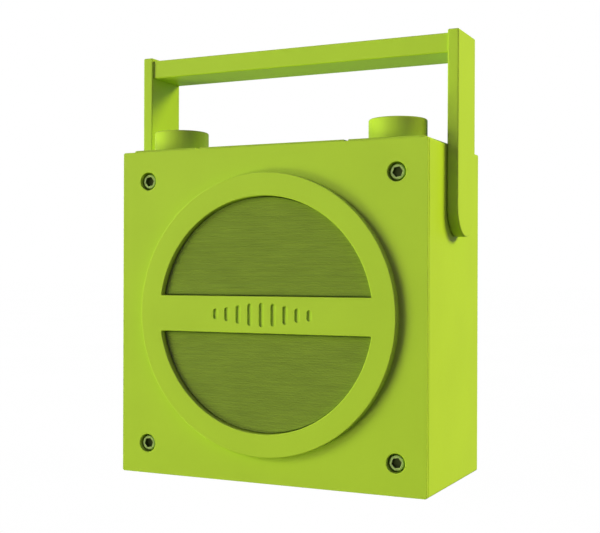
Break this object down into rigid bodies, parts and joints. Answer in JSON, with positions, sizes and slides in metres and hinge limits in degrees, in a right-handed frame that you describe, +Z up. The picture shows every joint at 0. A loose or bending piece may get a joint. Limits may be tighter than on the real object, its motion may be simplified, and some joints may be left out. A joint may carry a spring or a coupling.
{
  "type": "portable speaker",
  "caption": "Square portable speaker with a round ringed grille crossed by a bar, two knobs and push buttons on top, a swinging carry handle and a rear port door.",
  "frame": {"origin": "middle of the underside of the base pad, on the ground", "axes": "+Z up, front faces -Y, +X to the right as seen from the front"},
  "size_m": [0.167, 0.0808, 0.2075],
  "materials": {
    "shell": "satin",
    "ring": "satin",
    "handle": "satin",
    "knob": "satin",
    "button": "satin",
    "grille_cloth": "woven",
    "painted_screw": "satin",
    "steel": "satin",
    "brass": "satin",
    "rubber": "matte",
    "inner_plastic": "matte",
    "basket_metal": "satin",
    "cone_paper": "matte",
    "spider_cloth": "woven",
    "copper": "satin",
    "ferrite": "matte",
    "circuit_board": "satin",
    "component": "satin",
    "cell_wrap": "gloss",
    "lead": "satin",
    "lens": "gloss"
  },
  "bodies": {
    "housing": {"cabinet": "shell", "front_panel": "shell", "front_gasket": "rubber", "front_screws": "painted_screw", "speaker_ring": "ring", "ring_screws": "steel", "grille_cloth": "grille_cloth", "grille_frame": "inner_plastic", "rear_cover": "shell", "rear_gasket": "rubber", "rear_screws": "painted_screw", "base_pad": "rubber", "top_deck": "shell", "volume_control": "steel", "tuning_encoder": "steel", "control_nuts": "steel", "control_washers": "steel", "button_board": "circuit_board", "tact_switches": "component", "button_board_screws": "steel", "status_light": "lens", "pivot_bushes": "brass", "pivot_washers": "rubber", "driver_basket": "basket_metal", "driver_gasket": "rubber", "driver_screws": "steel", "driver_terminals": "brass", "surround": "rubber", "spider": "spider_cloth", "top_plate": "steel", "magnet": "ferrite", "yoke": "steel", "bass_port": "shell", "port_door_pin": "steel", "main_board": "circuit_board", "board_components": "component", "aux_jack": "inner_plastic", "battery_cells": "cell_wrap", "battery_holder": "inner_plastic", "wires": "lead"},
    "handle": {"handle_arm_left": "handle", "handle_arm_right": "handle", "handle_crossbar": "handle", "pivot_pins": "steel", "friction_washers": "steel", "pivot_clips": "steel"},
    "volume_dial": {"volume_knob": "knob", "volume_shaft": "steel"},
    "tuning_dial": {"tuning_knob": "knob", "tuning_shaft": "steel"},
    "power_key": {"button_power": "button"},
    "source_key": {"button_source": "button"},
    "previous_key": {"button_previous": "button"},
    "play_key": {"button_play": "button"},
    "next_key": {"button_next": "button"},
    "port_cover": {"port_door": "shell", "port_door_seal": "rubber"},
    "cone_assembly": {"speaker_cone": "cone_paper", "dust_cap": "cone_paper", "voice_coil": "copper"}
  },
  "joints": [
    {"name": "handle_swing", "type": "hinge", "parent": "housing", "child": "handle", "pos_m": [0, 0, 0.1277], "axis": [1, 0, 0], "range_deg": [-134, 130]},
    {"name": "volume_turn", "type": "hinge", "parent": "housing", "child": "volume_dial", "pos_m": [-0.057, -0.0187, 0.16], "axis": [0, 0, 1], "range_deg": [-150, 150]},
    {"name": "tuning_turn", "type": "hinge", "parent": "housing", "child": "tuning_dial", "pos_m": [0.057, -0.0187, 0.16], "axis": [0, 0, 1], "continuous": true},
    {"name": "power_press", "type": "slide", "parent": "housing", "child": "power_key", "axis": [0, 0, -1], "range_m": [0, 0.0006], "stiffness_N_per_m": 1500, "springref_m": -0.0005},
    {"name": "source_press", "type": "slide", "parent": "housing", "child": "source_key", "axis": [0, 0, -1], "range_m": [0, 0.0006], "stiffness_N_per_m": 1500, "springref_m": -0.0005},
    {"name": "previous_press", "type": "slide", "parent": "housing", "child": "previous_key", "axis": [0, 0, -1], "range_m": [0, 0.0006], "stiffness_N_per_m": 1500, "springref_m": -0.0005},
    {"name": "play_press", "type": "slide", "parent": "housing", "child": "play_key", "axis": [0, 0, -1], "range_m": [0, 0.0006], "stiffness_N_per_m": 1500, "springref_m": -0.0005},
    {"name": "next_press", "type": "slide", "parent": "housing", "child": "next_key", "axis": [0, 0, -1], "range_m": [0, 0.0006], "stiffness_N_per_m": 1500, "springref_m": -0.0005},
    {"name": "port_door_open", "type": "hinge", "parent": "housing", "child": "port_cover", "pos_m": [0.03, 0.037, 0.01275], "axis": [-1, 0, 0], "range_deg": [0, 95]},
    {"name": "cone_travel", "type": "slide", "parent": "housing", "child": "cone_assembly", "axis": [0, -1, 0], "range_m": [-0.002, 0.002], "stiffness_N_per_m": 1200}
  ]
}
